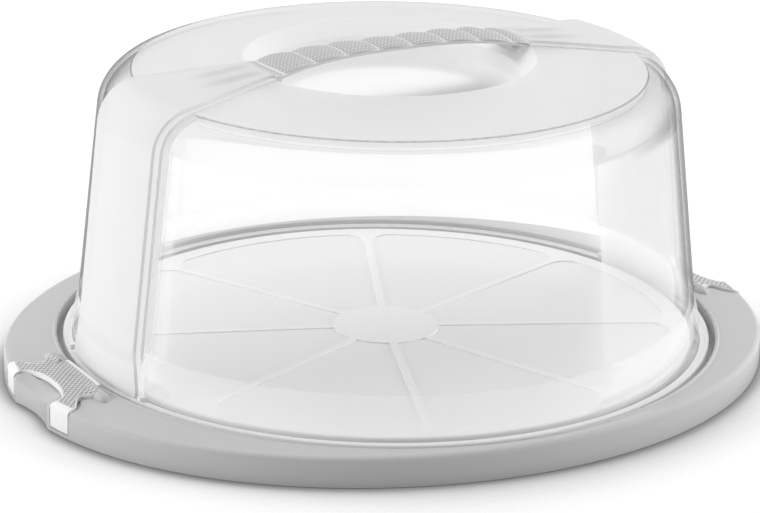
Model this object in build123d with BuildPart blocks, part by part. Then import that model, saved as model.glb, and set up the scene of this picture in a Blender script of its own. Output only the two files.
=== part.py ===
# Cake carrier: an oval tray with a round domed cover that lifts off. The cover carries a
# bridge handle over a sunk well, and two hinged clips on the tray hold its rim down.
# Millimetres. +X runs along the long axis of the oval, through both clips; +Z is up; the
# origin is on the table, under the centre of the dome.
import os
from math import cos, radians, sin, sqrt, tan
from build123d import *

# ---- tray -------------------------------------------------------------------------
RING_END = 26.4                # width of the ring at the oval's ends, where the clips are
RING_SIDE = 6.4                # width of the ring at the oval's sides
TRAY_WALL = 2.2
RING_TOP_Z = 14.0              # top of the ring at its inner edge
RING_FALL = 0.08               # drop of the ring's top per mm outwards
RING_ROUND = 2.4               # rounding of the ring's outer edge
BEAD_RISE = 0.5                # bead along the ring's inner edge
BEAD_WIDTH = 1.8
MOAT_Z = 6.4                   # floor of the groove that the cover stands in
MOAT_GAP = 3.0                 # cover's rim to the ring, all round
FLOOR_Z = 13.4                 # serving floor
FLOOR_GAP = 1.3                # serving floor to the cover's inner wall
FLOOR_ROUND = 1.2
PANEL_DEPTH = 0.6              # sunk portion panels in the serving floor
PANEL_COUNT = 8
PANEL_START = -24.5            # angle of one raised line, degrees from +X
PANEL_BORDER = 8.8             # rim left between the panels and the floor's edge
PANEL_RIB = 3.2                # raised line between two panels
PANEL_CORNER = 10.0
PANEL_HUB_R = 24.0             # plain round in the middle of the floor
UNDER_RIB = 1.8                # stiffening ribs under the floor
UNDER_RIB_Z = 5.0
UNDER_RIB_R = (30.0, 96.0)

# ---- cover ------------------------------------------------------------------------
COVER_WALL = 2.4
WINDOW_FOOT_R = 138.4          # outside of the clear wall where the windows end
WINDOW_FOOT_Z = 32.0
WALL_DRAFT = 6.2               # degrees that the wall leans in
FOOT_SWELL = 2.8               # the foot stands this much outside the windows' lower edge
FOOT_Z = 16.0                  # below this the foot is upright
COVER_TOP_Z = 139.5            # top of the disc, at the well's rim
SHOULDER_R = 17.1              # rounding from the wall to the top disc
DISC_STEP = 0.5                # the disc stands this much above the shoulder
TOP_SLOPE = 5.76               # degrees that the top rises towards the well
RIM_WIDTH = 4.4                # the flange outside the foot
RIM_Z = 12.8                   # top of the flange
RIM_BEAD = 0.5                 # bead along the flange's outer edge
WELL_R = 65.0
WELL_SLOPE = 7.5               # width of the well's sloping rim
WELL_STEP = 6.5                # its depth
WELL_DEPTH = 18.5
WELL_ROUND = 0.8
BAND_RISE = 2.7                # the band stands this much above the cover's skin
BAND_HALF = 31.0               # half width of the band on the wall
BAND_FOOT_HALF = 35.0          # and at the flange
BAND_NECK_HALF = 14.4          # and at the well, where the handle meets it
BAND_SIDE = 3.2                # width of the lower step along the band's edges
BLOCK = 3.0                    # locating block on the flange, each side of a band's foot
BLOCK_HEIGHT = 2.2

# ---- handle -----------------------------------------------------------------------
HANDLE_RISE = 8.0              # crown of the handle above the well's rim
HANDLE_HALF = 8.6              # half width in the middle of the span
HANDLE_BEND = 3.2              # how late the handle bends down: 2 is round, more is flatter
HANDLE_CROWN = 1.0
HANDLE_SIDE = 2.5              # height of its sides
HANDLE_BELLY = 1.3             # the underside is rounded by this much
HANDLE_SECTIONS = 9
GRIP_THICK = 1.2
GUSSET_HALF = 9.0              # half width of the beam's ends on the well's slope
GUSSET_DROP = 4.0              # how far down the slope they reach
GUSSET_LENGTH = 9.0
PRONG_WIDTH = 6.0
PRONG_THICK = 2.0
PRONG_PITCH = 12.0
PRONG_REACH = 23.0             # length of each prong under the band
BARB = 0.9
BARB_LENGTH = 3.0
SEAT_GAP = 0.15

# ---- clips ------------------------------------------------------------------------
PIVOT_IN = 4.2                 # hinge axis outside the ring's inner edge
PIVOT_SUNK = 0.5               # and below the ring's top
PIN_R = 1.0
PIN_GRIP = 3.9                 # length of each pin's end in its boss
PIN_RUN = 0.05                 # running clearance of the clip on its pin
PIN_SEAT = 0.02
BARREL_R = 2.9
BARREL_HALF = 24.2             # half length of the hinge barrel
BOSS_LENGTH = 7.1              # the tray's hinge boss beyond each end of the barrel
BOSS_TIP_R = 0.4
CLIP_GAP = 0.5                 # clip to tray, all round
SIDE_EASE = 0.9                # extra room along the clip's waist
CLIP_THICK = 2.2
CLIP_RISE = 1.9                # top of the clip above its pivot
CLIP_FALL = 0.126              # drop of the clip's top per mm outwards
FRONT_REACH = 4.0              # the clip's front edge, inwards of its pivot
FRONT_HALF = 16.8
FRONT_ROUND = 1.2
WAIST_HALF = 22.2              # side outline of the clip: waist, flare and leg
WAIST_OUT = 6.7                # outwards of the pivot
FLARE_HALF = 25.6
FLARE_OUT = 10.8
LEG_START = 4.5                # inwards of the skirt
LEG_INNER = 19.8
LEG_OUTER = 32.6
LEDGE_Z = 1.7                  # ledge of the skirt under the legs
FINGER_OUT = 10.6              # the edge that a finger lifts, outwards of the pivot
FINGER_CORNER = 2.6            # that edge curves outwards by this much
FINGER_HALF = 15.2             # at this half width
FINGER_END = 3.7               # and meets the legs this far inwards of the skirt
STOP_RISE = 0.25               # two fine raised lines where the texture ends on each leg
STOP_WIDTH = 0.5
NOSE_HALF = 14.0
NOSE_REACH = 4.0               # the nose that holds the cover's lip, inwards of the pivot
NOSE_WIDTH = 2.0
NOSE_PLAY = 0.6                # nose to lip, so that the nose swings clear
LIP_REACH = 3.2                # edge of the cover's lip, inwards of the pivot
LIP_THICK = 1.5
LIP_HALF = 13.0
SWING_GAP = 0.4
SCOOP_R = 47.0                 # hollow for the finger under the clip's edge
SCOOP_IN = 4.5                 # its lowest line, inwards of the skirt
SCOOP_DEPTH = 5.7              # and below the ring's top
SCOOP_DIP = 12.4               # degrees that the hollow slopes outwards there
DISH_R = 58.0                  # hollow of the skirt between the legs
DISH_DEPTH = 3.7

# ---- worked out -------------------------------------------------------------------
TALL = 200.0                   # above the whole object
FOOT_R = WINDOW_FOOT_R + FOOT_SWELL
RIM_R = FOOT_R + RIM_WIDTH
RING_R = RIM_R + MOAT_GAP
HALF_LENGTH = RING_R + RING_END
HALF_WIDTH = RING_R + RING_SIDE
BEYOND = HALF_LENGTH + 10
FLOOR_R = FOOT_R - COVER_WALL - FLOOR_GAP
FLOOR_UNDER_Z = FLOOR_Z - PANEL_DEPTH - TRAY_WALL
WELL_STEP_R = WELL_R - WELL_SLOPE
WELL_STEP_Z = COVER_TOP_Z - WELL_STEP
WELL_FLOOR_Z = COVER_TOP_Z - WELL_DEPTH
HANDLE_TOP_Z = COVER_TOP_Z + HANDLE_RISE
PIVOT_X = RING_R + PIVOT_IN
PIVOT_Z = RING_TOP_Z - PIVOT_SUNK
FRONT_X = PIVOT_X - FRONT_REACH
NOSE_X = PIVOT_X - NOSE_REACH
LIP_X = PIVOT_X - LIP_REACH
LIP_Z = MOAT_Z + LIP_THICK
NOSE_Z = LIP_Z + NOSE_PLAY
LEG_Z = LEDGE_Z + CLIP_GAP
CLIP_REACH = sqrt(NOSE_REACH ** 2 + (PIVOT_Z - NOSE_Z) ** 2)
PIN_HALF = BARREL_HALF + CLIP_GAP + PIN_GRIP


def ring_z(r):
    """Height of the ring's top at radius r."""
    return RING_TOP_Z - (r - RING_R) * RING_FALL


def clip_z(r):
    """Height of the clip's top at radius r."""
    return PIVOT_Z + CLIP_RISE - (r - PIVOT_X) * CLIP_FALL


def wall_r(z, out=0.0):
    """Radius of the cover's clear wall at height z, out mm outside its skin."""
    lean = radians(WALL_DRAFT)
    return WINDOW_FOOT_R - (z - WINDOW_FOOT_Z) * tan(lean) + out / cos(lean)


def top_z(r, out=0.0):
    """Height of the cover's top at radius r, out mm above the skin that the disc stands on."""
    rise = radians(TOP_SLOPE)
    return COVER_TOP_Z - DISC_STEP - (r - WELL_R) * tan(rise) + out / cos(rise)


def shoulder_corner(out=0.0):
    """Where the wall's line would meet the top's line."""
    lean, rise = tan(radians(WALL_DRAFT)), tan(radians(TOP_SLOPE))
    r = (wall_r(0, out) - lean * top_z(0, out)) / (1 - lean * rise)
    return r, top_z(r, out)


def disc_r():
    """Radius of the top disc: the shoulder's rounding ends at its edge."""
    turn = radians(90 - WALL_DRAFT - TOP_SLOPE)
    return shoulder_corner()[0] - SHOULDER_R * tan(turn / 2) * cos(radians(TOP_SLOPE))


def oval(inset, z_at, bottom=-1.0, rounding=0.0):
    """Solid inside the oval skirt and under a round roof of height z_at(r)."""
    with BuildPart() as solid:
        with BuildSketch(Plane.XY.offset(bottom)):
            Ellipse(HALF_LENGTH - inset, HALF_WIDTH - inset)
        extrude(amount=TALL)
        with BuildSketch(Plane.XZ):
            Polygon((0, bottom), (BEYOND, bottom), (BEYOND, z_at(BEYOND)), (0, z_at(0)), align=None)
        revolve(axis=Axis.Z, mode=Mode.INTERSECT)
        if rounding:
            rim = solid.edges().filter_by(lambda e: e.length > 2 * HALF_LENGTH).sort_by(Axis.Z)[-1]
            fillet(rim, radius=rounding)
    return solid.part


def bell(out, bottom):
    """Solid bell under the cover's skin, grown by out."""
    corner = shoulder_corner(out)
    with BuildPart() as solid:
        with BuildSketch(Plane.XZ):
            with BuildLine():
                side = (wall_r(bottom, out), bottom)
                FilletPolyline(side, corner, (0, top_z(0, out)), radius=SHOULDER_R + out)
                Polyline((0, top_z(0, out)), (0, bottom), side)
            make_face()
        revolve(axis=Axis.Z)
    return solid.part


def foot(inset, bottom):
    """Solid inside the foot's flare, from bottom to the windows' lower edge."""
    with BuildPart() as solid:
        with BuildSketch(Plane.XZ):
            with BuildLine():
                top, low = (WINDOW_FOOT_R - inset, WINDOW_FOOT_Z), (FOOT_R - inset, FOOT_Z)
                Spline(top, low, tangents=((0.1, -1), (0, -1)), tangent_scalars=(0.45, 1.6))
                Polyline(low, (FOOT_R - inset, bottom), (0, bottom), (0, WINDOW_FOOT_Z), top)
            make_face()
        revolve(axis=Axis.Z)
    return solid.part


def well(wall):
    """The space of the well, grown by wall."""
    bowl = WELL_STEP_Z - WELL_FLOOR_Z
    with BuildPart() as solid:
        with BuildSketch(Plane.XZ):
            with BuildLine():
                floor = Line((0, WELL_FLOOR_Z), (WELL_STEP_R - bowl, WELL_FLOOR_Z))
                JernArc(floor @ 1, (1, 0), bowl, 90)
                Polyline((WELL_STEP_R, WELL_STEP_Z), (WELL_R, COVER_TOP_Z), (WELL_R, TALL),
                         (0, TALL), (0, WELL_FLOOR_Z))
            make_face()
            mirror(about=Plane.YZ)
            if wall:
                offset(amount=wall)
            Rectangle(BEYOND, 2 * TALL, align=(Align.MIN, Align.MIN), mode=Mode.INTERSECT)
        revolve(axis=Axis.Z)
    return solid.part


def band(inset, out):
    """The band over the cover, inset from its side edges and out mm above the skin."""
    neck, half, base = BAND_NECK_HALF - inset, BAND_HALF - inset, BAND_FOOT_HALF - inset
    neck_x, wide_x = WELL_STEP_R, shoulder_corner()[0] - SHOULDER_R / 2
    with BuildPart() as solid:
        with BuildSketch():
            for side in (1, -1):
                with BuildLine():
                    edge = Spline((side * neck_x, neck), (side * wide_x, half),
                                  tangents=((side, 0.05), (side, 0.05)), tangent_scalars=(1, 1))
                    Polyline(edge @ 1, (side * wide_x, base), (side * BEYOND, base),
                             (side * BEYOND, 0), (side * neck_x, 0), edge @ 0)
                make_face()
            mirror(about=Plane.XZ)
        extrude(amount=TALL)
        with BuildSketch(Plane.YZ):
            with BuildLine():
                Polyline((0, MOAT_Z), (base, MOAT_Z), (base, FOOT_Z), (half, WINDOW_FOOT_Z),
                         (half, TALL), (0, TALL), (0, MOAT_Z))
            make_face()
            mirror(about=Plane.YZ)
        extrude(amount=BEYOND, both=True, mode=Mode.INTERSECT)
        add(bell(out, MOAT_Z), mode=Mode.INTERSECT)
        add(well(0), mode=Mode.SUBTRACT)
    return solid.part


def handle_top(x):
    """Height of the handle's crown at x: level in the middle, down to the band at its ends."""
    drop = HANDLE_TOP_Z - top_z(WELL_R, BAND_RISE)
    return HANDLE_TOP_Z - drop * (abs(x) / WELL_R) ** HANDLE_BEND


def handle_form(sunk, spare=0.0):
    """The handle's bar from end to end, its top sunk by some depth and its sides grown by spare."""
    reach = WELL_R + spare
    with BuildPart() as bar:
        for n in range(HANDLE_SECTIONS):
            x = reach * (2 * n / (HANDLE_SECTIONS - 1) - 1)
            half = HANDLE_HALF + (BAND_NECK_HALF - HANDLE_HALF) * (x / WELL_R) ** 2
            top, side = handle_top(x) - sunk, half + spare
            edge = top - HANDLE_CROWN * (side / half) ** 2
            low = handle_top(x) - HANDLE_CROWN - HANDLE_SIDE - spare
            with BuildSketch(Plane.YZ.offset(x)):
                with BuildLine():
                    ThreePointArc((-side, edge), (0, top), (side, edge))
                    Line((side, edge), (side, low))
                    ThreePointArc((side, low), (0, low - HANDLE_BELLY), (-side, low))
                    Line((-side, low), (-side, edge))
                make_face()
        loft()
    return bar.part


def prongs(grow=0.0, window=0.0):
    """The two prongs at the handle's +X end, grown by grow, their barbs window mm longer."""
    end_x = WELL_R + PRONG_REACH + grow
    barb_x = end_x - BARB_LENGTH - 2 * grow
    with BuildPart() as pair:
        for y in (PRONG_PITCH / 2, -PRONG_PITCH / 2):
            with BuildSketch(Plane.XZ.offset(y)):
                middle = [(x, top_z(x, (BAND_RISE - COVER_WALL) / 2)) for x in
                          (WELL_R - GUSSET_DROP, barb_x, end_x)]
                half = PRONG_THICK / 2 + grow
                depth = half + BARB + window
                root, barb, end = middle
                Polygon((root[0], root[1] + half), (end[0], end[1] + half), (end[0], end[1] - depth),
                        (barb[0], barb[1] - depth), (barb[0], barb[1] - half),
                        (root[0], root[1] - half), align=None)
            extrude(amount=PRONG_WIDTH / 2 + grow, both=True)
    return pair.part


def clip_outline(gap=0.0, ease=0.0):
    """Plan of a clip at +X, grown by gap, with ease more room at its waist."""
    slant = gap * sqrt(0.5)
    waist = (PIVOT_X + WAIST_OUT, WAIST_HALF + gap + ease)
    flare = (PIVOT_X + FLARE_OUT - slant - ease, FLARE_HALF + slant + ease)
    leg = (HALF_LENGTH - LEG_START, LEG_OUTER + gap)
    finger = (PIVOT_X + FINGER_OUT + gap, 0)
    finger_corner = (finger[0] + FINGER_CORNER, FINGER_HALF - slant)
    finger_end = (HALF_LENGTH - FINGER_END + slant, LEG_INNER - gap)
    with BuildSketch() as outline:
        with BuildLine():
            Polyline(finger, (PIVOT_X, 0), (PIVOT_X, BARREL_HALF + gap),
                     (PIVOT_X + BARREL_R, BARREL_HALF + gap), waist)
            Spline(waist, flare, leg, tangents=((1, 0), (1, 0.15)))
            Polyline(leg, (BEYOND, LEG_OUTER + gap), (BEYOND, LEG_INNER - gap), finger_end)
            Spline(finger_end, finger_corner, finger, tangents=((-1, 0), (0, -1)))
        make_face()
        mirror(about=Plane.XZ)
    return outline.sketch


def clip_skin(inset, rounding=0.0):
    """Everything under the clip's top and inside the skirt, inset mm deeper."""
    return oval(inset, lambda r: clip_z(r) - inset, rounding=rounding)


def clip_room(grow):
    """The space cut out of the tray for the clip at +X and a finger, grown by grow."""
    floor = clip_skin(CLIP_THICK + CLIP_GAP + grow)
    dip = radians(SCOOP_DIP)
    scoop_x = HALF_LENGTH - SCOOP_IN + SCOOP_R * sin(dip)
    scoop_z = RING_TOP_Z - SCOOP_DEPTH + SCOOP_R * cos(dip)
    with BuildPart() as room:
        with BuildSketch(Plane.XY.offset(LEDGE_Z - grow)):
            add(clip_outline(CLIP_GAP + grow, SIDE_EASE))
        extrude(amount=TALL)
        add(floor, mode=Mode.SUBTRACT)
        with BuildSketch(Plane.XZ):
            with Locations((PIVOT_X, PIVOT_Z)):
                Circle(CLIP_REACH + SWING_GAP + grow)
        extrude(amount=NOSE_HALF + CLIP_GAP + grow, both=True)
        with BuildSketch(Plane.XZ):
            with Locations((PIVOT_X, PIVOT_Z)):
                Circle(BARREL_R + CLIP_GAP + grow)
                Rectangle(2 * (BARREL_R + CLIP_GAP + grow), TALL, align=(Align.CENTER, Align.MIN))
        extrude(amount=BARREL_HALF + CLIP_GAP + grow, both=True)
        with BuildSketch(Plane.XY.offset(MOAT_Z - grow)):
            with Locations((PIVOT_X, 0)):
                Rectangle(2 * (PIVOT_X - RING_R + COVER_WALL), 2 * (FRONT_HALF + CLIP_GAP + grow))
        extrude(amount=TALL)
        with Locations((scoop_x, 0, scoop_z)):
            Sphere(SCOOP_R + grow)
        with Locations((HALF_LENGTH - DISH_DEPTH + DISH_R, 0, 0)):
            Cylinder(DISH_R + grow, 2 * TALL)
    return room.part


# ---- tray -------------------------------------------------------------------------
with BuildPart() as underside:
    # the hollow under the tray, with ribs and the walls of the clips' pockets left in it
    add(oval(TRAY_WALL, lambda r: ring_z(r) - TRAY_WALL))
    with BuildSketch(Plane.XZ):
        Polygon((0, FLOOR_UNDER_Z), (FLOOR_R - TRAY_WALL, FLOOR_UNDER_Z),
                (FLOOR_R - TRAY_WALL, MOAT_Z - TRAY_WALL), (RING_R + TRAY_WALL, MOAT_Z - TRAY_WALL),
                (RING_R + TRAY_WALL, TALL), (0, TALL), align=None)
    revolve(axis=Axis.Z, mode=Mode.SUBTRACT)
    with BuildSketch(Plane.XY.offset(UNDER_RIB_Z)):
        for r in UNDER_RIB_R:
            Circle(r)
            Circle(r - UNDER_RIB, mode=Mode.SUBTRACT)
        with PolarLocations(UNDER_RIB_R[0] - UNDER_RIB, PANEL_COUNT, start_angle=PANEL_START):
            Rectangle(FLOOR_R - UNDER_RIB_R[0], UNDER_RIB, align=(Align.MIN, Align.CENTER))
    extrude(amount=TALL, mode=Mode.SUBTRACT)
    right_walls = clip_room(TRAY_WALL)
    add(right_walls, mode=Mode.SUBTRACT)
    mirror(right_walls, about=Plane.YZ, mode=Mode.SUBTRACT)

with BuildPart() as tray:
    add(oval(0, ring_z, bottom=0, rounding=RING_ROUND))
    with BuildSketch(Plane.XZ):
        Polygon((0, FLOOR_Z), (FLOOR_R, FLOOR_Z), (FLOOR_R, MOAT_Z), (RING_R, MOAT_Z),
                (RING_R, TALL), (0, TALL), align=None)
    revolve(axis=Axis.Z, mode=Mode.SUBTRACT)
    fillet(tray.edges().filter_by(GeomType.CIRCLE).filter_by_position(
        Axis.Z, FLOOR_Z - 0.1, FLOOR_Z + 0.1).sort_by(SortBy.LENGTH)[-1], radius=FLOOR_ROUND)
    with BuildSketch(Plane.XZ):
        with BuildLine():
            low = (RING_R, RING_TOP_Z - BEAD_RISE)
            high = (RING_R + BEAD_WIDTH, ring_z(RING_R + BEAD_WIDTH))
            ThreePointArc(low, (RING_R + BEAD_WIDTH / 2, RING_TOP_Z + BEAD_RISE), high)
            Polyline(high, (RING_R + BEAD_WIDTH, RING_TOP_Z - 2 * BEAD_RISE),
                     (RING_R, RING_TOP_Z - 2 * BEAD_RISE), low)
        make_face()
    revolve(axis=Axis.Z)
    # eight sunk panels in the serving floor
    with BuildSketch(Plane.XY.offset(FLOOR_Z - PANEL_DEPTH)) as panels:
        Circle(FLOOR_R - PANEL_BORDER)
        Circle(PANEL_HUB_R, mode=Mode.SUBTRACT)
        with PolarLocations(0, PANEL_COUNT, start_angle=PANEL_START):
            Rectangle(BEYOND, PANEL_RIB, align=(Align.MIN, Align.CENTER), mode=Mode.SUBTRACT)
        corners = panels.vertices().sort_by_distance((0, 0, FLOOR_Z))
        fillet(corners[-2 * PANEL_COUNT:], radius=PANEL_CORNER)
    extrude(amount=TALL, mode=Mode.SUBTRACT)
    add(underside.part, mode=Mode.SUBTRACT)
    right_room = clip_room(0)
    add(right_room, mode=Mode.SUBTRACT)
    mirror(right_room, about=Plane.YZ, mode=Mode.SUBTRACT)
    # pointed hinge bosses with a blind bore for the pin
    boss_start = BARREL_HALF + CLIP_GAP
    for end in (1, -1):
        hinge = Plane(origin=(PIVOT_X, end * boss_start, PIVOT_Z), x_dir=(1, 0, 0), z_dir=(0, 0, 1))
        with BuildSketch(hinge):
            with BuildLine():
                tip = (BOSS_TIP_R, end * BOSS_LENGTH)
                side = Spline((BARREL_R, 0), tip, tangents=((0, end), (-1, end * 0.5)))
                Polyline(tip, (0, end * BOSS_LENGTH), (0, 0), side @ 0)
            make_face()
        revolve(axis=Axis((PIVOT_X, 0, PIVOT_Z), (0, 1, 0)))
        with BuildSketch(Plane(origin=hinge.origin, z_dir=(0, end, 0))):
            Circle(PIN_R + PIN_SEAT)
        extrude(amount=PIN_HALF + PIN_SEAT - boss_start, mode=Mode.SUBTRACT)
    split(bisect_by=Plane.YZ)
    mirror(about=Plane.YZ)
tray.part.label = "tray"

# ---- cover ------------------------------------------------------------------------
with BuildPart() as inside:
    # the hollow under the cover, with the well's wall left in it
    add(bell(-COVER_WALL, MOAT_Z - 1))
    add(foot(COVER_WALL, MOAT_Z - 1))
    add(well(COVER_WALL), mode=Mode.SUBTRACT)

with BuildPart() as dome:
    add(bell(0, MOAT_Z))
    add(foot(0, MOAT_Z))
    with BuildSketch(Plane.XZ):
        Polygon((0, MOAT_Z), (disc_r(), MOAT_Z), (disc_r(), top_z(disc_r()) + DISC_STEP),
                (0, top_z(0) + DISC_STEP), align=None)
        # flange with a bead along its edge
        Polygon((0, MOAT_Z), (RIM_R, MOAT_Z), (RIM_R, RIM_Z), (0, RIM_Z), align=None)
        with Locations((RIM_R - RIM_BEAD * 2, RIM_Z - RIM_BEAD)):
            Circle(2 * RIM_BEAD)
    revolve(axis=Axis.Z)
    add(well(0), mode=Mode.SUBTRACT)
    fillet(dome.edges().filter_by(GeomType.CIRCLE).filter_by_position(
        Axis.Z, COVER_TOP_Z - 0.01, COVER_TOP_Z + 0.01), radius=WELL_ROUND)
    add(band(0, BAND_RISE / 2))
    add(band(BAND_SIDE, BAND_RISE))
    for side in (1, -1):
        with BuildSketch(Plane.XY.offset(RIM_Z)):
            with GridLocations(0, 2 * BAND_FOOT_HALF + BLOCK, 1, 2):
                with Locations((side * (sqrt(FOOT_R ** 2 - BAND_FOOT_HALF ** 2) + BLOCK / 2), 0)):
                    Rectangle(BLOCK, BLOCK)
        extrude(amount=BLOCK_HEIGHT)
    add(inside.part, mode=Mode.SUBTRACT)
    # slots under the band for the handle's prongs, with a window for each barb
    slots = prongs(SEAT_GAP, COVER_WALL)
    add(slots, mode=Mode.SUBTRACT)
    mirror(slots, about=Plane.YZ, mode=Mode.SUBTRACT)
    # groove under the flange
    with BuildSketch(Plane.XZ):
        Polygon((FOOT_R, MOAT_Z), (RIM_R - TRAY_WALL, MOAT_Z), (RIM_R - TRAY_WALL, RIM_Z - COVER_WALL),
                (FOOT_R, RIM_Z - COVER_WALL), align=None)
    revolve(axis=Axis.Z, mode=Mode.SUBTRACT)
    # lips that the clips hold down
    with BuildSketch(Plane.XY.offset(MOAT_Z)):
        Rectangle(2 * LIP_X, 2 * LIP_HALF)
        Circle(RIM_R - TRAY_WALL, mode=Mode.SUBTRACT)
    extrude(amount=LIP_Z - MOAT_Z)
dome.part.label = "dome"

# ---- handle -----------------------------------------------------------------------
handle_core = handle_form(GRIP_THICK, spare=COVER_WALL)

with BuildPart() as handle_grip:
    add(handle_form(0))
    add(handle_core, mode=Mode.SUBTRACT)
    Cylinder(WELL_R - SEAT_GAP, 2 * TALL, mode=Mode.INTERSECT)
handle_grip.part.label = "handle_grip"

with BuildPart() as handle_beam:
    add(handle_form(0))
    add(handle_core, mode=Mode.INTERSECT)
    # gussets that seat on the well's slope
    gusset_x, gusset_z = WELL_R - GUSSET_LENGTH, COVER_TOP_Z - GUSSET_DROP
    grip_z = [handle_top(x) - HANDLE_CROWN - GRIP_THICK for x in (gusset_x, WELL_R)]
    with BuildSketch(Plane.XZ):
        Polygon((WELL_R, grip_z[1]), (WELL_R, gusset_z), (WELL_R - 1.5 * GUSSET_DROP, gusset_z),
                (gusset_x, grip_z[0]), align=None)
        mirror(about=Plane.YZ)
    extrude(amount=GUSSET_HALF, both=True)
    add(well(-SEAT_GAP), mode=Mode.INTERSECT)
    right_prongs = prongs()
    add(right_prongs)
    mirror(right_prongs, about=Plane.YZ)
handle_beam.part.label = "handle_beam"

# ---- clips ------------------------------------------------------------------------
with BuildPart() as hinge_middle:
    # middle of the barrel, the front edge over the groove and the nose below it
    with BuildSketch(Plane.XZ):
        with Locations((PIVOT_X, PIVOT_Z)):
            Circle(BARREL_R)
        Polygon((FRONT_X, PIVOT_Z - PIN_R), (PIVOT_X + BARREL_R, PIVOT_Z - PIN_R),
                (PIVOT_X + BARREL_R, clip_z(0)), (FRONT_X, clip_z(0)), align=None)
    extrude(amount=FRONT_HALF, both=True)
    with BuildSketch(Plane.XZ):
        Polygon((NOSE_X, PIVOT_Z), (NOSE_X, NOSE_Z), (NOSE_X + NOSE_WIDTH, NOSE_Z),
                (PIVOT_X, PIVOT_Z - BARREL_R), (PIVOT_X, PIVOT_Z), align=None)
    extrude(amount=NOSE_HALF, both=True)
    add(clip_skin(0), mode=Mode.INTERSECT)
    fillet(hinge_middle.edges().filter_by(Axis.Y, tolerance=5).group_by(Axis.X)[0].sort_by(
        Axis.Z)[-1], radius=FRONT_ROUND)

with BuildPart() as texture_stops:
    # two fine raised lines across each leg
    with BuildSketch(Plane.XY.offset(MOAT_Z)):
        for inset in (RING_ROUND, RING_ROUND + 2 * STOP_WIDTH):
            Ellipse(HALF_LENGTH - inset, HALF_WIDTH - inset)
            Ellipse(HALF_LENGTH - inset - STOP_WIDTH, HALF_WIDTH - inset - STOP_WIDTH,
                    mode=Mode.SUBTRACT)
        add(clip_outline(), mode=Mode.INTERSECT)
        Rectangle(BEYOND, 2 * LEG_INNER, align=(Align.MIN, Align.CENTER), mode=Mode.SUBTRACT)
    extrude(amount=TALL)
    add(clip_skin(-STOP_RISE), mode=Mode.INTERSECT)
    add(clip_skin(CLIP_THICK / 2), mode=Mode.SUBTRACT)

with BuildPart() as clip_right:
    # plate and legs, a shell that follows the ring's top and the skirt
    with BuildSketch(Plane.XY.offset(LEG_Z)):
        add(clip_outline())
    extrude(amount=TALL)
    add(clip_skin(0, rounding=RING_ROUND), mode=Mode.INTERSECT)
    add(clip_skin(CLIP_THICK), mode=Mode.SUBTRACT)
    add(hinge_middle.part)
    add(texture_stops.part)
    for end in (1, -1):
        with BuildSketch(Plane.XZ.offset(end * FRONT_HALF)):
            with Locations((PIVOT_X, PIVOT_Z)):
                Circle(BARREL_R)
        extrude(amount=end * (BARREL_HALF - FRONT_HALF))
    with BuildSketch(Plane.XZ):
        with Locations((PIVOT_X, PIVOT_Z)):
            Circle(PIN_R + PIN_RUN)
    extrude(amount=BARREL_HALF, both=True, mode=Mode.SUBTRACT)
clip_right.part.label = "clip_right"

with BuildPart() as clip_left:
    mirror(clip_right.part, about=Plane.YZ)
clip_left.part.label = "clip_left"

pins = []
for side, name in ((1, "clip_right_pin"), (-1, "clip_left_pin")):
    with BuildPart() as pin:
        with BuildSketch(Plane.XZ):
            with Locations((side * PIVOT_X, PIVOT_Z)):
                Circle(PIN_R)
        extrude(amount=PIN_HALF, both=True)
        chamfer(pin.edges().filter_by(GeomType.CIRCLE), length=PIN_R / 4)
    pin.part.label = name
    pins.append(pin.part)

os.makedirs("parts", exist_ok=True)
for piece in (tray.part, dome.part, handle_grip.part, handle_beam.part, clip_right.part,
              clip_left.part, *pins):
    export_step(piece, f"parts/{piece.label}.step")
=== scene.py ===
"""Looks of the cake carrier: finishes, woven relief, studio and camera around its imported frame."""
import math

import bmesh
import bpy
from mathutils import Matrix, Vector
from mathutils.bvhtree import BVHTree
from mathutils.kdtree import KDTree


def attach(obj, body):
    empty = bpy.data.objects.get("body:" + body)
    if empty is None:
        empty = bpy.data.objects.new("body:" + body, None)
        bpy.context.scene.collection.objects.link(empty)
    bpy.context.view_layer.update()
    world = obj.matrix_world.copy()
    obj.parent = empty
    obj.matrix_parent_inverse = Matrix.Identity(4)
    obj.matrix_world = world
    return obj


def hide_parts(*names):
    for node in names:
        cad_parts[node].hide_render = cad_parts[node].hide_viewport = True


MM = 0.001
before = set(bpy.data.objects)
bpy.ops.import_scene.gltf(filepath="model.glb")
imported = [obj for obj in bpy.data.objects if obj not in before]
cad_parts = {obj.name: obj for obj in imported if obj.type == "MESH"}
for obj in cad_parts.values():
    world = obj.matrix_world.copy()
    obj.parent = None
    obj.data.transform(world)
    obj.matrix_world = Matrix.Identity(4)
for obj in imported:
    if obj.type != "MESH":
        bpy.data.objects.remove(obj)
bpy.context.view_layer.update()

# ---- camera: a long lens, a little above the cover, turned towards the left clip ----
CAMERA_AZIMUTH = -29.0          # degrees, 0 looks along +Y
CAMERA_PITCH = 18.886           # degrees below the horizon
CAMERA_YAW = 0.124
CAMERA_ROLL = 0.772
CAMERA_PLACE = Vector((-693.6, -1251.2, 535.1)) * MM
LENS = 159.26


def turn(degrees, axis):
    return Matrix.Rotation(math.radians(degrees), 4, axis)


def make_camera():
    data = bpy.data.cameras.new("camera")
    data.lens = LENS
    data.sensor_width = 36.0
    data.clip_end = 20.0
    camera = bpy.data.objects.new("camera", data)
    bpy.context.scene.collection.objects.link(camera)
    camera.matrix_world = (Matrix.Translation(CAMERA_PLACE) @ turn(CAMERA_AZIMUTH + CAMERA_YAW, "Z")
                           @ turn(90 - CAMERA_PITCH, "X") @ turn(CAMERA_ROLL, "Z"))
    bpy.context.scene.camera = camera


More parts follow.
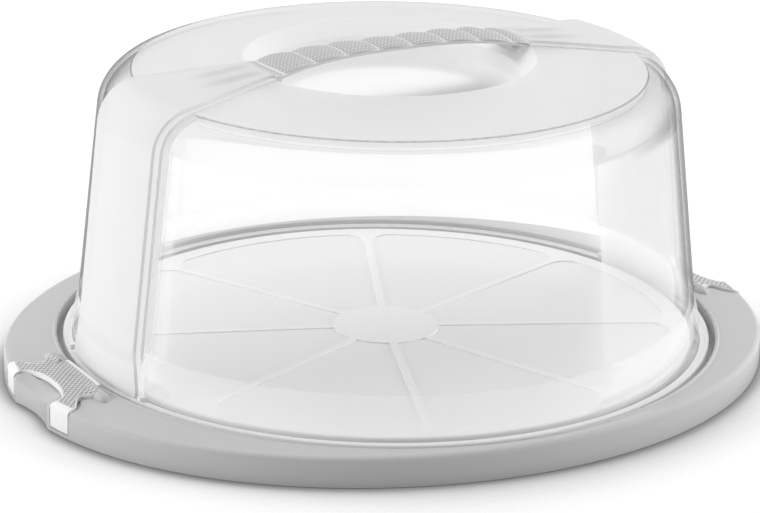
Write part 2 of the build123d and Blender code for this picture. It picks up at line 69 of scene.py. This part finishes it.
# ---- shader nodes -------------------------------------------------------------------
class Shader:
    """A node tree with short calls for the nodes that the finishes use."""

    def __init__(self, owner):
        owner.use_nodes = True
        self.tree = owner.node_tree
        self.tree.nodes.clear()

    def add(self, kind, ins=None, **settings):
        node = self.tree.nodes.new(kind)
        for key, value in settings.items():
            setattr(node, key, value)
        for key, value in (ins or {}).items():
            if isinstance(value, bpy.types.NodeSocket):
                self.tree.links.new(value, node.inputs[key])
            else:
                node.inputs[key].default_value = value
        return node

    def math(self, operation, *values):
        return self.add("ShaderNodeMath", dict(enumerate(values)), operation=operation).outputs[0]

    def ramp(self, value, low, high, out_low=0.0, out_high=1.0, kind="SMOOTHSTEP"):
        """value mapped from low..high to out_low..out_high, with soft ends."""
        ins = {"Value": value, "From Min": low, "From Max": high, "To Min": out_low, "To Max": out_high}
        return self.add("ShaderNodeMapRange", ins, interpolation_type=kind).outputs[0]

    def place(self):
        """The point on the piece, in metres: its vector and its x, y and z."""
        vector = self.add("ShaderNodeTexCoord").outputs["Object"]
        split = self.add("ShaderNodeSeparateXYZ", {0: vector})
        return vector, split.outputs[0], split.outputs[1], split.outputs[2]

    def mix_colour(self, factor, dark, light):
        return self.add("ShaderNodeMix", {0: factor, 6: dark, 7: light}, data_type="RGBA").outputs[2]


def new_material(name):
    material = bpy.data.materials.new(name)
    return material, Shader(material)


def grey(value):
    return (value, value, value, 1.0)


# ---- finishes -----------------------------------------------------------------------
FLOOR_R = 0.1412               # the serving floor ends inside this radius
MOAT_R = 0.1486                # and the groove for the cover inside this one
WINDOW_FOOT_Z = 0.032
WELL_FLOOR_R = 0.052
BOWL_R, BOWL_EDGE_R = 0.042, 0.057   # the rounded wall of the well
FLANGE_R = 0.1414
DISC_R = 0.1137
DISC_LOW_Z = 0.116             # everything inside the disc's radius above this is the lid's top
BAND_NECK_HALF, BAND_HALF, BAND_FOOT_HALF = 0.0144, 0.031, 0.035
GRAIN_SCALE, GRAIN_STRENGTH = 900.0, 0.04


def fine_grain(s, vector, scale, strength):
    """The faint orange peel of moulded plastic, as a normal."""
    noise = s.add("ShaderNodeTexNoise", {"Vector": vector, "Scale": scale, "Detail": 3.0}).outputs[0]
    return s.add("ShaderNodeBump", {
        "Strength": strength, "Distance": 0.0002, "Height": noise}).outputs[0]


def moulded(name, tone, roughness):
    """Opaque moulded plastic."""
    material, s = new_material(name)
    vector = s.place()[0]
    shader = s.add("ShaderNodeBsdfPrincipled", {
        "Base Color": tone, "Roughness": roughness,
        "Normal": fine_grain(s, vector, GRAIN_SCALE, GRAIN_STRENGTH)})
    s.add("ShaderNodeOutputMaterial", {"Surface": shader.outputs[0]})
    return material


def woven(name, low, high, roughness):
    """Moulded plastic with a woven relief; painted shade makes it darker in the gaps between the strands.
    """
    material, s = new_material(name)
    vector = s.place()[0]
    # painted shade: the relief layer picks the darker tone in the gaps
    relief = s.add("ShaderNodeAttribute", attribute_name="relief").outputs["Fac"]
    shader = s.add("ShaderNodeBsdfPrincipled", {
        "Base Color": s.mix_colour(relief, low, high), "Roughness": roughness,
        "Normal": fine_grain(s, vector, GRAIN_SCALE, GRAIN_STRENGTH)})
    s.add("ShaderNodeOutputMaterial", {"Surface": shader.outputs[0]})
    return material


def tray_plastic():
    """Gloss pearl grey; the serving floor is painted whiter as painted light, and its sunk panels and the
    groove darker as painted shade.
    """
    material, s = new_material("tray_plastic")
    vector, x, y, z = s.place()
    r = s.math("SQRT", s.math("ADD", s.math("MULTIPLY", x, x), s.math("MULTIPLY", y, y)))
    # painted light: the serving floor is painted whiter than the ring
    on_floor = s.ramp(r, FLOOR_R, FLOOR_R + 0.002, 1.0, 0.0)
    # painted shade: the sunk panels of the serving floor are painted a little darker than the raised ribs
    raised = s.ramp(z, 0.0129, 0.0133)
    # painted shade: the groove for the cover is painted darker
    painted_moat_shade = s.ramp(r, MOAT_R - 0.0006, MOAT_R, 1.0, 0.0)
    tone = s.mix_colour(on_floor, s.mix_colour(painted_moat_shade, grey(0.57), grey(0.36)),
                        s.mix_colour(raised, grey(0.95), grey(1.0)))
    shader = s.add("ShaderNodeBsdfPrincipled", {
        "Base Color": tone, "Roughness": 0.2,
        "Normal": fine_grain(s, vector, 700.0, 0.03)})
    s.add("ShaderNodeOutputMaterial", {"Surface": shader.outputs[0]})
    return material


def cover_plastic():
    """Clear plastic, milky on the raised band, and hazy on the top, in the well and on the foot. Painted
    shade darkens its grazing edges, its shoulder, the disc's step and the band over the handle's prongs,
    and painted light keeps the well whiter than the disc.
    """
    material, s = new_material("cover_plastic")
    vector, x, y, z = s.place()
    across, along = s.math("ABSOLUTE", y), s.math("ABSOLUTE", x)
    r = s.math("SQRT", s.math("ADD", s.math("MULTIPLY", x, x), s.math("MULTIPLY", y, y)))
    on_top = s.ramp(z, DISC_LOW_Z, DISC_LOW_Z + 0.002)
    disc = s.math("MULTIPLY", s.ramp(r, DISC_R - 0.0002, DISC_R, 1.0, 0.0, "LINEAR"), on_top)
    neck_edge = s.ramp(along, 0.0575, 0.119, BAND_NECK_HALF, BAND_HALF)
    foot_edge = s.ramp(z, 0.016, WINDOW_FOOT_Z, BAND_FOOT_HALF, BAND_HALF, "LINEAR")
    beyond = s.math("SUBTRACT", across, s.math("MINIMUM", neck_edge, foot_edge))
    band = s.math("MULTIPLY", s.ramp(beyond, 0.0004, 0.0013, 1.0, 0.0),
                  s.ramp(r, 0.0575, 0.0655))
    beside_band = s.ramp(beyond, 0.0012, 0.0034, 1.0, 0.0)
    foot = s.ramp(z, WINDOW_FOOT_Z - 0.0006, WINDOW_FOOT_Z, 1.0, 0.0)
    flange = s.ramp(r, FLANGE_R, FLANGE_R + 0.0004)
    foot_haze = s.ramp(flange, 0.0, 1.0, 0.22, 0.92)
    top = s.ramp(r, WELL_FLOOR_R, WELL_FLOOR_R + 0.006, 0.95, 0.62)
    haze = s.math("MAXIMUM", s.math("MULTIPLY", disc, top), s.math("MULTIPLY", foot, foot_haze))
    haze = s.math("MAXIMUM", haze, s.math("MULTIPLY", band, 0.9))
    path = s.add("ShaderNodeLightPath").outputs
    facing = s.add("ShaderNodeLayerWeight", {"Blend": 0.5}).outputs["Facing"]
    # painted shade: the clear wall is mixed towards dark grey where it is seen at a grazing angle, less so
    # beside the band
    painted_wall_shade = s.math("MULTIPLY", s.ramp(facing, 0.76, 0.9, 0.0, 0.55),
                      s.math("SUBTRACT", 1.0, s.math("MULTIPLY", beside_band, 0.8)))
    # painted shade: a dark gradient on the shoulder below the disc
    painted_shoulder_shade = s.math("MULTIPLY", s.ramp(z, 0.115, 0.1185), s.ramp(z, 0.119, 0.133, 1.0, 0.0))
    painted_rim_shade = s.math("MAXIMUM", painted_wall_shade,
                 s.math("MULTIPLY", painted_shoulder_shade, s.ramp(facing, 0.4, 0.85, 0.0, 0.4)))
    # painted shade: the step round the disc is painted as a thin dark line
    step = s.math("MULTIPLY", s.math("LESS_THAN", r, DISC_R + 0.0006),
                  s.math("GREATER_THAN", z, 0.1338))
    painted_rim_shade = s.math("MAXIMUM", painted_rim_shade, s.math("MULTIPLY", step, 0.5))
    painted_rim_shade = s.math("MULTIPLY", painted_rim_shade, s.math("SUBTRACT", 1.0, s.math("MAXIMUM", disc, foot)))
    gloss = s.add("ShaderNodeBsdfAnisotropic", {"Color": grey(1.0), "Roughness": 0.12})
    pane = s.add("ShaderNodeBsdfTransparent", {"Color": s.mix_colour(foot, grey(0.97), grey(1.0))})
    shine = s.ramp(s.add("ShaderNodeFresnel", {"IOR": 1.35}).outputs[0], 0.0, 1.0, 0.0, 0.4, "LINEAR")
    clear = s.add("ShaderNodeMixShader", {0: shine, 1: pane.outputs[0], 2: gloss.outputs[0]})
    # the dark grey that the painted shade mixes in
    edge = s.add("ShaderNodeBsdfPrincipled", {
        "Base Color": grey(0.16), "Roughness": 0.4, "Specular IOR Level": 0.0})
    # painted shade: the band is painted darker where the handle's prongs lie under it, standing in for
    # them showing faintly through
    painted_prong_shade = s.math("MULTIPLY", s.ramp(across, 0.0015, 0.005),
                   s.ramp(across, 0.0075, 0.0115, 1.0, 0.0))
    painted_prong_shade = s.math("MULTIPLY", painted_prong_shade, s.math("MULTIPLY", s.ramp(along, 0.064, 0.072),
                                             s.ramp(along, 0.080, 0.100, 1.0, 0.0)))
    painted_prong_shade = s.math("MULTIPLY", painted_prong_shade, s.ramp(z, 0.125, 0.13))
    # painted light: the well keeps a whiter tone than the disc round it, which is painted greyer
    tone = s.mix_colour(s.math("MULTIPLY", disc, s.ramp(r, 0.064, 0.066)), grey(1.0), grey(0.93))
    tone = s.mix_colour(band, tone, grey(0.9))
    tone = s.mix_colour(painted_prong_shade, tone, grey(0.78))
    skin = s.add("ShaderNodeBsdfPrincipled", {"Base Color": tone, "Roughness": 0.4})
    glow = s.add("ShaderNodeBsdfTranslucent", {"Color": tone})
    # the rounded wall of the well passes more light
    bowl = s.math("MULTIPLY", s.ramp(r, BOWL_R, WELL_FLOOR_R),
                  s.ramp(r, BOWL_EDGE_R, BOWL_EDGE_R + 0.002, 1.0, 0.0))
    bowl = s.math("MULTIPLY", s.math("MULTIPLY", bowl, on_top), 0.7)
    lit_through = s.math("ADD", s.math("MULTIPLY", foot, s.ramp(flange, 0.0, 1.0, 0.5, -0.2)),
                         s.math("MAXIMUM", bowl, s.math("MULTIPLY", s.ramp(r, 0.055, 0.066), 0.3)))
    milk = s.add("ShaderNodeMixShader", {0: lit_through, 1: skin.outputs[0], 2: glow.outputs[0]})
    window = s.add("ShaderNodeMixShader", {0: painted_rim_shade, 1: clear.outputs[0], 2: edge.outputs[0]})
    solid = s.add("ShaderNodeMixShader", {0: haze, 1: window.outputs[0], 2: milk.outputs[0]})
    through = s.add("ShaderNodeBsdfTransparent", {
        "Color": s.mix_colour(haze, grey(0.985), grey(0.8))})
    light = s.math("MAXIMUM", path["Is Shadow Ray"], path["Is Diffuse Ray"])
    out = s.add("ShaderNodeMixShader", {0: light, 1: solid.outputs[0], 2: through.outputs[0]})
    s.add("ShaderNodeOutputMaterial", {"Surface": out.outputs[0]})
    return material


def dress(node, material):
    """Gives a node of the frame its finish."""
    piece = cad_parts[node]
    for slot in piece.material_slots:
        slot.material = material


# ---- relief -------------------------------------------------------------------------
def weave(u, v, pitch):
    """Height, from 0 to 1, of strands that pass over and under each other."""
    a, b = u / pitch, v / pitch
    if (math.floor(a) + math.floor(b)) % 2:
        a, b = b, a
    a, b = a % 1, b % 1
    return (1 - (2 * b - 1) ** 4) * (0.35 + 0.65 * math.sin(math.pi * a))


def smooth(value, low, high):
    t = min(max((value - low) / (high - low), 0.0), 1.0)
    return t * t * (3 - 2 * t)


def add_piece(name, bm, material, body):
    """Makes a piece of a bmesh in millimetres; its relief layer, which sets the painted shade of the
    relief's gaps, goes with it.
    """
    bmesh.ops.scale(bm, vec=(MM, MM, MM), verts=bm.verts)
    bmesh.ops.recalc_face_normals(bm, faces=bm.faces)
    mesh = bpy.data.meshes.new(name)
    bm.to_mesh(mesh)
    bm.free()
    for face in mesh.polygons:
        face.use_smooth = True
    mesh.materials.append(material)
    piece = bpy.data.objects.new(name, mesh)
    bpy.context.scene.collection.objects.link(piece)
    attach(piece, body)
    return piece


WELL_R, HANDLE_TOP, HANDLE_DROP, HANDLE_BEND = 65.0, 147.5, 5.78, 3.2
HANDLE_HALF, HANDLE_END_HALF, HANDLE_CROWN, GRIP_THICK = 8.6, 14.4, 1.0, 1.2
STRAND_LENGTH = 16.6           # length of one swell of the twisted grip
SWELL, KNIT, KNIT_ALONG, KNIT_ACROSS = 1.15, 0.24, 1.83, 2.2


def stitch(x, y):
    """Height, from 0 to 1, of the knit's short stitches, which lie along the handle in rows."""
    along = 0.5 + 0.5 * math.cos(2 * math.pi * (x - 0.62 * y) / KNIT_ALONG)
    across = 0.5 + 0.5 * math.cos(2 * math.pi * y / KNIT_ACROSS)
    return along ** 0.7 * across


def grip_swell(x, y):
    """Height, from 0 to 1, of the grip's swells: steep on the left side, gentle on the right."""
    turn = ((x + 0.06 * y) / STRAND_LENGTH + 0.62) % 1
    return math.sin(math.pi * turn ** 0.75) ** 0.9


def grip():
    """The textured shell on the handle, with swells across it and a fine knit."""
    bm = bmesh.new()
    bmesh.ops.create_grid(bm, x_segments=520, y_segments=90, size=1.0)
    relief = bm.verts.layers.float.new("relief")
    reach = WELL_R - 0.15

    def crown(x, y):
        half = HANDLE_HALF + (HANDLE_END_HALF - HANDLE_HALF) * (x / WELL_R) ** 2
        return HANDLE_TOP - HANDLE_DROP * (abs(x) / WELL_R) ** HANDLE_BEND - HANDLE_CROWN * (y / half) ** 2

    for vert in bm.verts:
        s, t = vert.co.x, vert.co.y
        half = HANDLE_HALF + (HANDLE_END_HALF - HANDLE_HALF) * (s * reach / WELL_R) ** 2
        swell = grip_swell(s * reach, t * half)
        fade = smooth(1 - abs(s), 0.0, 0.06)
        y = t * (half - 0.5 * (1 - swell) * fade)
        x = s * math.sqrt(reach ** 2 - y * y)
        edge = smooth(1 - abs(t), 0.0, 0.08)
        knit = stitch(x, y) * edge * fade
        sink = SWELL * (1 - swell) * fade + KNIT * (1 - knit) + 0.2 * (1 - edge)
        # painted shade: the relief layer is low in the knit's gaps, which the finish paints darker, and a
        # flat mid tone at the edges and ends
        vert[relief] = knit + 0.7 * (1 - edge * fade)
        vert.co = (x, y, crown(x, y) - sink)
    made = bmesh.ops.extrude_face_region(bm, geom=bm.faces[:])
    for vert in made["geom"]:
        if isinstance(vert, bmesh.types.BMVert):
            vert.co.z = crown(vert.co.x, vert.co.y) - GRIP_THICK - 0.05
    piece = add_piece("grip_shell", bm, woven("grip_plastic", grey(0.44), grey(0.74), 0.42), "lid")
    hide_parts("handle_grip")


PIVOT_X, PIVOT_Z, CLIP_RISE, CLIP_FALL = 152.8, 13.5, 1.9, 0.126
BASKET, BASKET_PITCH, BASKET_STEP = 0.4, 2.0, 0.2
WEAVE_START, WEAVE_INNER = 148.6, 149.4    # the weave's grid and the weave itself start here
WEAVE_LENGTH, WEAVE_WIDTH = 22.0, 66.0
WEAVE_OVAL = (172.3, 152.3)    # and the weave ends inside this oval
DIAGONAL = 0.707               # the strands lie at 45 degrees


def clip_weave(side, node, body, material):
    """Basket weave over the clip's plate and knuckles: a thin skin that lies on the clip."""
    clip = bmesh.new()
    clip.from_mesh(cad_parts[node].data)
    bmesh.ops.scale(clip, vec=(1 / MM, 1 / MM, 1 / MM), verts=clip.verts)
    tree = BVHTree.FromBMesh(clip)
    clip.free()
    bm = bmesh.new()
    bmesh.ops.create_grid(bm, x_segments=int(WEAVE_LENGTH / BASKET_STEP),
                          y_segments=int(WEAVE_WIDTH / BASKET_STEP), size=1.0)
    relief = bm.verts.layers.float.new("relief")
    outside = []
    hits = {}
    for vert in bm.verts:
        x = side * (WEAVE_START + WEAVE_LENGTH * (vert.co.x + 1) / 2)
        y = WEAVE_WIDTH / 2 * vert.co.y
        spot, normal, _, _ = tree.ray_cast(Vector((x, y, 60)), Vector((0, 0, -1)))
        r = math.hypot(x, y)
        oval = math.hypot(x / WEAVE_OVAL[0], y / WEAVE_OVAL[1])
        top = PIVOT_Z + CLIP_RISE - (r - PIVOT_X) * CLIP_FALL
        good = spot is not None and spot.z > top - 0.9 and oval < 1 and abs(x) > WEAVE_INNER
        vert.co = (x, y, 0)
        hits[vert.index] = (spot, normal) if spot is not None and spot.z > top - 2.5 else None
        if not good:
            outside.append(vert.co.copy())
        vert.tag = good
    near = KDTree(len(outside))
    for n, spot in enumerate(outside):
        near.insert(spot, n)
    near.balance()
    drop = []
    for vert in bm.verts:
        if not vert.tag:
            drop.append(vert)
            continue
        x, y = vert.co.x, vert.co.y
        basket = weave((abs(x) + y) * DIAGONAL, (abs(x) - y) * DIAGONAL, BASKET_PITCH)
        spot, normal = hits[vert.index]
        rise = smooth(near.find((x, y, 0))[2], 0.35, 1.0)
        # painted shade: the relief layer is low in the weave's gaps, which the finish paints darker, and a
        # flat light tone near the border
        vert[relief] = basket * rise + 0.8 * (1 - rise)
        # flat where it turns down beside the tray
        clear = smooth(abs(x), PIVOT_X - 1.2, PIVOT_X + 1.4)
        height = (0.04 + (0.06 + BASKET * basket) * clear) * rise - 0.12 * (1 - rise)
        vert.co = spot + normal * height
    bmesh.ops.delete(bm, geom=drop, context="VERTS")
    made = bmesh.ops.extrude_face_region(bm, geom=bm.faces[:])
    for vert in made["geom"]:
        if isinstance(vert, bmesh.types.BMVert):
            vert.co.z -= 0.6
    add_piece(node + "_weave", bm, material, body)


# ---- studio -------------------------------------------------------------------------
TOWARDS_BACK = Vector((0.485, 0.874, 0.0))
TOWARDS_SIDE = Vector((0.874, -0.485, 0.0))


def seen_rays(s):
    """1 for the rays that show a backdrop: camera, gloss and clear plastic."""
    path = s.add("ShaderNodeLightPath").outputs
    return s.math("MAXIMUM", path["Is Camera Ray"],
                  s.math("MAXIMUM", path["Is Glossy Ray"], path["Is Transmission Ray"]))


def make_world():
    """Soft light from above, behind and both sides, and less from the front."""
    world = bpy.data.worlds.new("studio")
    bpy.context.scene.world = world
    s = Shader(world)
    vector = s.add("ShaderNodeTexCoord").outputs["Generated"]
    height = s.add("ShaderNodeSeparateXYZ", {0: vector}).outputs[2]
    back, across = (s.add("ShaderNodeVectorMath", {0: vector, 1: way},
                          operation="DOT_PRODUCT").outputs["Value"]
                    for way in (TOWARDS_BACK, TOWARDS_SIDE))
    side = s.math("ABSOLUTE", across)
    level = s.math("ADD", s.ramp(back, -0.3, 0.9, 0.0, 0.46), s.ramp(side, 0.3, 1.0, 0.0, 0.46))
    level = s.math("ADD", level, s.ramp(height, 0.0, 1.0, 0.08, 0.36))
    path = s.add("ShaderNodeLightPath").outputs
    clear = s.math("MAXIMUM", path["Is Camera Ray"], path["Is Transmission Ray"])
    right = s.ramp(across, 0.05, 0.7, 0.0, 0.5)
    gloss = s.math("MULTIPLY", path["Is Glossy Ray"], s.math("ADD", s.math("MULTIPLY", level, 0.9), right))
    plain = s.math("SUBTRACT", 1.0, s.math("MAXIMUM", clear, path["Is Glossy Ray"]))
    strength = s.math("ADD", s.math("ADD", clear, gloss), s.math("MULTIPLY", level, plain))
    light = s.add("ShaderNodeBackground", {"Color": grey(1.0), "Strength": strength})
    s.add("ShaderNodeOutputWorld", {"Surface": light.outputs[0]})


def make_floor():
    bpy.ops.mesh.primitive_plane_add(size=12.0, location=(0, 0, -0.0002))
    floor = bpy.context.object
    floor.name = "floor"
    material, s = new_material("floor_white")
    # painted shadow: ambient occlusion darkens the floor's colour near the object and dims the white it
    # shows there
    near = s.add("ShaderNodeAmbientOcclusion", {"Distance": 0.08}, samples=8).outputs["AO"]
    white = s.math("MULTIPLY", s.ramp(near, 0.4, 1.0, -0.12, 0.46), seen_rays(s))
    shader = s.add("ShaderNodeBsdfPrincipled", {
        "Base Color": s.mix_colour(s.ramp(near, 0.45, 0.95), grey(0.35), grey(0.6)),
        "Roughness": 0.9, "Specular IOR Level": 0.0,
        "Emission Color": grey(1.0), "Emission Strength": s.math("MAXIMUM", white, 0.0)})
    s.add("ShaderNodeOutputMaterial", {"Surface": shader.outputs[0]})
    floor.data.materials.append(material)


def area_light(name, place, size, power):
    """A panel that faces the middle of the tray."""
    data = bpy.data.lights.new(name, "AREA")
    data.shape = "RECTANGLE"
    data.size, data.size_y = size
    data.energy = power
    lamp = bpy.data.objects.new(name, data)
    bpy.context.scene.collection.objects.link(lamp)
    lamp.visible_glossy = False
    lamp.location = place
    lamp.rotation_euler = (Vector((0, 0, 0.05)) - Vector(place)).to_track_quat("-Z", "Y").to_euler()


def make_lights():
    area_light("overhead", (0.25, 0.5, 1.1), (1.0, 0.7), 6.5)
    area_light("left", (-1.38, 0.15, 0.42), (0.6, 0.5), 9.0)
    area_light("right", (1.12, -0.84, 0.36), (0.5, 0.5), 9.0)


make_camera()
make_world()
make_floor()
make_lights()
dress("tray", tray_plastic())
dress("dome", cover_plastic())
clip_finish = moulded("clip_plastic", grey(0.94), 0.3)
dress("clip_left", clip_finish)
dress("clip_right", clip_finish)
grip()
basket_finish = woven("clip_basket", grey(0.18), grey(0.78), 0.35)
clip_weave(-1, "clip_left", "left_clip", basket_finish)
clip_weave(1, "clip_right", "right_clip", basket_finish)
dress("handle_beam", moulded("handle_plastic", grey(0.78), 0.35))
steel = moulded("pin_steel", grey(0.6), 0.3)
dress("clip_left_pin", steel)
dress("clip_right_pin", steel)

bpy.context.scene.view_settings.view_transform = "Standard"
